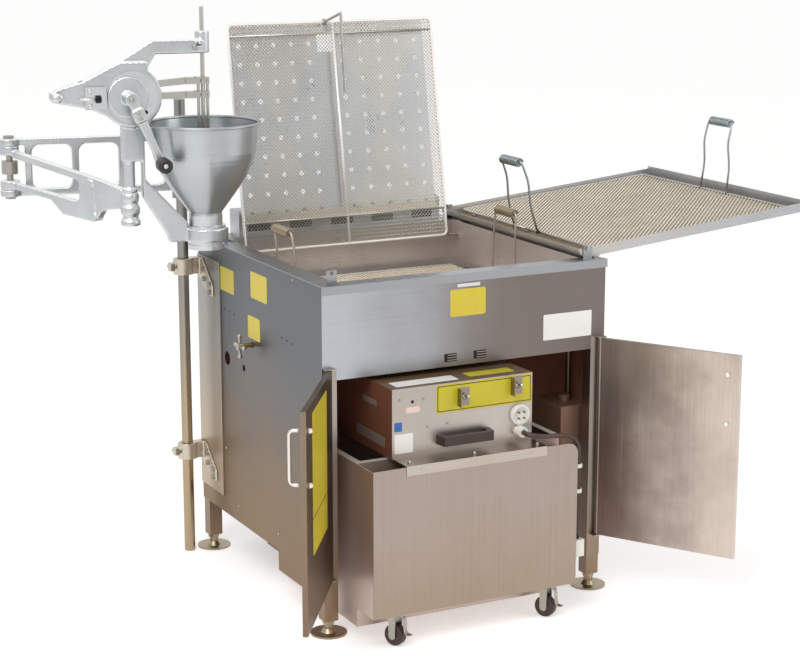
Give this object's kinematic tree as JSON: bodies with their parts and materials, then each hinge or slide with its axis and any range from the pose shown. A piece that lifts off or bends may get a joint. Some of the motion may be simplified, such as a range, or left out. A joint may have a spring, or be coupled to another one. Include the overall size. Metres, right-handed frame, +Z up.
{
  "type": "donut fryer",
  "caption": "Free-standing gas donut fryer with a kettle, hinged submerger, sloped drain tray, swing-arm batter depositor and roll-out filter cart.",
  "frame": {"origin": "middle of the whole part's footprint, on the floor", "axes": "+X to the right along the front, from the depositor to the drain tray; +Y to the back; +Z up"},
  "size_m": [2.0418, 1.2899, 1.577],
  "materials": {
    "stainless": "brushed, with a brown heat tint low down",
    "cast_aluminium": "sand cast and polished",
    "spun_aluminium": "spun, satin",
    "zinc_plate": "dull plated steel",
    "brass_fitting": "dull cast brass",
    "dark_plastic": "moulded, satin",
    "wheel_plastic": "moulded, worn",
    "white_plastic": "moulded, gloss",
    "cord_rubber": "smooth jacket"
  },
  "bodies": {
    "cabinet": {"left_side_panel": "stainless", "right_side_panel": "stainless", "back_panel": "stainless", "front_apron": "stainless", "corner_legs": "stainless", "levelling_feet": "zinc_plate", "kettle": "stainless", "heat_tubes": "stainless", "gas_burner": "zinc_plate", "gas_control_box": "zinc_plate", "drain_valve": "brass_fitting", "hinge_brackets": "zinc_plate", "rim_brackets": "stainless", "pole_mount_plate": "stainless", "pole_clamps": "cast_aluminium", "cabinet_bolts": "zinc_plate", "support_pole": "stainless"},
    "drain_knob": {"drain_handle": "zinc_plate"},
    "left_door": {"left_door": "stainless", "left_door_handle": "stainless"},
    "right_door": {"right_door": "stainless", "right_door_handle": "stainless"},
    "submerger": {"submerger_screen": "stainless", "submerger_pivots": "stainless", "submerger_plates": "stainless"},
    "submerger_lift_rod": {"submerger_handle": "stainless"},
    "tray": {"drain_tray": "stainless"},
    "drain_rack": {"drain_screen": "stainless", "drain_screen_bails": "stainless", "drain_screen_grips": "zinc_plate"},
    "frying_rack": {"frying_screen": "stainless", "frying_screen_bails": "stainless", "frying_screen_grips": "zinc_plate"},
    "cart": {"cart_tank": "stainless", "cart_front_panel": "stainless", "control_box": "stainless", "box_base_plate": "stainless", "box_handle": "dark_plastic", "cable_fittings": "white_plastic", "heater_lead": "cord_rubber", "filter_unit": "stainless", "switch_guards": "zinc_plate"},
    "left_toggle": {"switch_left": "spun_aluminium"},
    "right_toggle": {"switch_right": "spun_aluminium"},
    "left_caster": {"caster_fork_left": "zinc_plate"},
    "right_caster": {"caster_fork_right": "zinc_plate"},
    "left_wheel": {"wheel_front_left": "wheel_plastic"},
    "right_wheel": {"wheel_front_right": "wheel_plastic"},
    "rear_axle": {"rear_wheels": "wheel_plastic"},
    "inner_link": {"inner_swing_link": "cast_aluminium", "elbow_pin": "zinc_plate"},
    "outer_link": {"outer_swing_link": "cast_aluminium"},
    "depositor": {"depositor_frame": "cast_aluminium", "cover_plate": "spun_aluminium", "hopper": "spun_aluminium", "forming_cylinder": "spun_aluminium"},
    "crank": {"crank_handle": "cast_aluminium"},
    "knob": {"crank_knob": "dark_plastic"},
    "levers": {"rocker_levers": "spun_aluminium"},
    "plunger": {"plunger": "spun_aluminium"}
  },
  "joints": [
    {"name": "drain_handle_turn", "type": "hinge", "parent": "cabinet", "child": "drain_knob", "pos_m": [-0.52428, 0.15235, 0.676], "axis": [1, 0, 0], "range_deg": [0, 90]},
    {"name": "left_door_swing", "type": "hinge", "parent": "cabinet", "child": "left_door", "pos_m": [-0.46928, -0.30065, 0.4], "axis": [0, 0, 1], "range_deg": [-30, 40]},
    {"name": "right_door_swing", "type": "hinge", "parent": "cabinet", "child": "right_door", "pos_m": [0.33072, -0.30065, 0.4], "axis": [0, 0, -1], "range_deg": [-30, 60]},
    {"name": "submerger_swing", "type": "hinge", "parent": "cabinet", "child": "submerger", "pos_m": [-0.06928, 0.40735, 0.877], "axis": [-1, 0, 0], "range_deg": [-96, 0]},
    {"name": "submerger_handle_swing", "type": "hinge", "parent": "submerger", "child": "submerger_lift_rod", "pos_m": [-0.09228, 0.51709, 1.4994], "axis": [-1, 0, 0], "range_deg": [0, 96]},
    {"name": "tray_tilt", "type": "hinge", "parent": "cabinet", "child": "tray", "pos_m": [0.30572, 0.11935, 0.941], "axis": [0, 1, 0], "range_deg": [-20, 0]},
    {"name": "drain_screen_lift", "type": "slide", "parent": "tray", "child": "drain_rack", "axis": [0, 0, 1], "range_m": [0, 0.3]},
    {"name": "frying_screen_lift", "type": "slide", "parent": "cabinet", "child": "frying_rack", "axis": [0, 0, 1], "range_m": [0, 0.25]},
    {"name": "cart_roll", "type": "slide", "parent": "cabinet", "child": "cart", "axis": [0, 1, 0], "range_m": [-0.6, 0.175]},
    {"name": "switch_left_flip", "type": "hinge", "parent": "cart", "child": "left_toggle", "pos_m": [-0.13928, -0.39665, 0.619], "axis": [-1, 0, 0], "range_deg": [-30, 0]},
    {"name": "switch_right_flip", "type": "hinge", "parent": "cart", "child": "right_toggle", "pos_m": [0.01572, -0.39665, 0.63], "axis": [-1, 0, 0], "range_deg": [-30, 0]},
    {"name": "left_caster_swivel", "type": "hinge", "parent": "cart", "child": "left_caster", "pos_m": [-0.35228, -0.41065, 0.085], "axis": [0, 0, 1], "continuous": true},
    {"name": "right_caster_swivel", "type": "hinge", "parent": "cart", "child": "right_caster", "pos_m": [0.09172, -0.41065, 0.085], "axis": [0, 0, 1], "continuous": true},
    {"name": "left_wheel_spin", "type": "hinge", "parent": "left_caster", "child": "left_wheel", "pos_m": [-0.34664, -0.42125, 0.028], "axis": [0.8829, 0.4695, 0], "continuous": true},
    {"name": "right_wheel_spin", "type": "hinge", "parent": "right_caster", "child": "right_wheel", "pos_m": [0.09808, -0.42083, 0.028], "axis": [0.848, 0.5299, 0], "continuous": true},
    {"name": "rear_wheels_spin", "type": "hinge", "parent": "cart", "child": "rear_axle", "pos_m": [-0.13028, 0.16085, 0.028], "axis": [1, 0, 0], "continuous": true},
    {"name": "inner_link_swing", "type": "hinge", "parent": "cabinet", "child": "inner_link", "pos_m": [-0.53928, 0.50735, 1.13], "axis": [0, 0, 1], "range_deg": [-75, 12]},
    {"name": "outer_link_swing", "type": "hinge", "parent": "inner_link", "child": "outer_link", "pos_m": [-0.99183, 0.6185, 1.13], "axis": [0, 0, 1], "range_deg": [-60, 15]},
    {"name": "depositor_swivel", "type": "hinge", "parent": "outer_link", "child": "depositor", "pos_m": [-0.8008, 0.19346, 1.063], "axis": [0, 0, -1], "range_deg": [-50, 90]},
    {"name": "crank_turn", "type": "hinge", "parent": "depositor", "child": "crank", "pos_m": [-0.80474, 0.19415, 1.354], "axis": [0.1736, 0.9848, 0], "range_deg": [0, 180]},
    {"name": "crank_knob_spin", "type": "hinge", "parent": "crank", "child": "knob", "pos_m": [-0.75021, 0.08299, 1.189], "axis": [0.1736, 0.9848, 0], "continuous": true},
    {"name": "lever_rock", "type": "hinge", "parent": "depositor", "child": "levers", "pos_m": [-0.97693, 0.22451, 1.356], "axis": [0.1736, 0.9848, 0], "range_deg": [0, 6.89]},
    {"name": "plunger_slide", "type": "slide", "parent": "depositor", "child": "plunger", "axis": [0, 0, -1], "range_m": [0, 0.0451]}
  ],
  "couplings": [
    {"joint": "submerger_handle_swing", "follows": "submerger_swing", "ratio": -1},
    {"joint": "lever_rock", "follows": "crank_turn", "ratio": 0.038203},
    {"joint": "plunger_slide", "follows": "crank_turn", "m_per_rad": 0.014324}
  ]
}
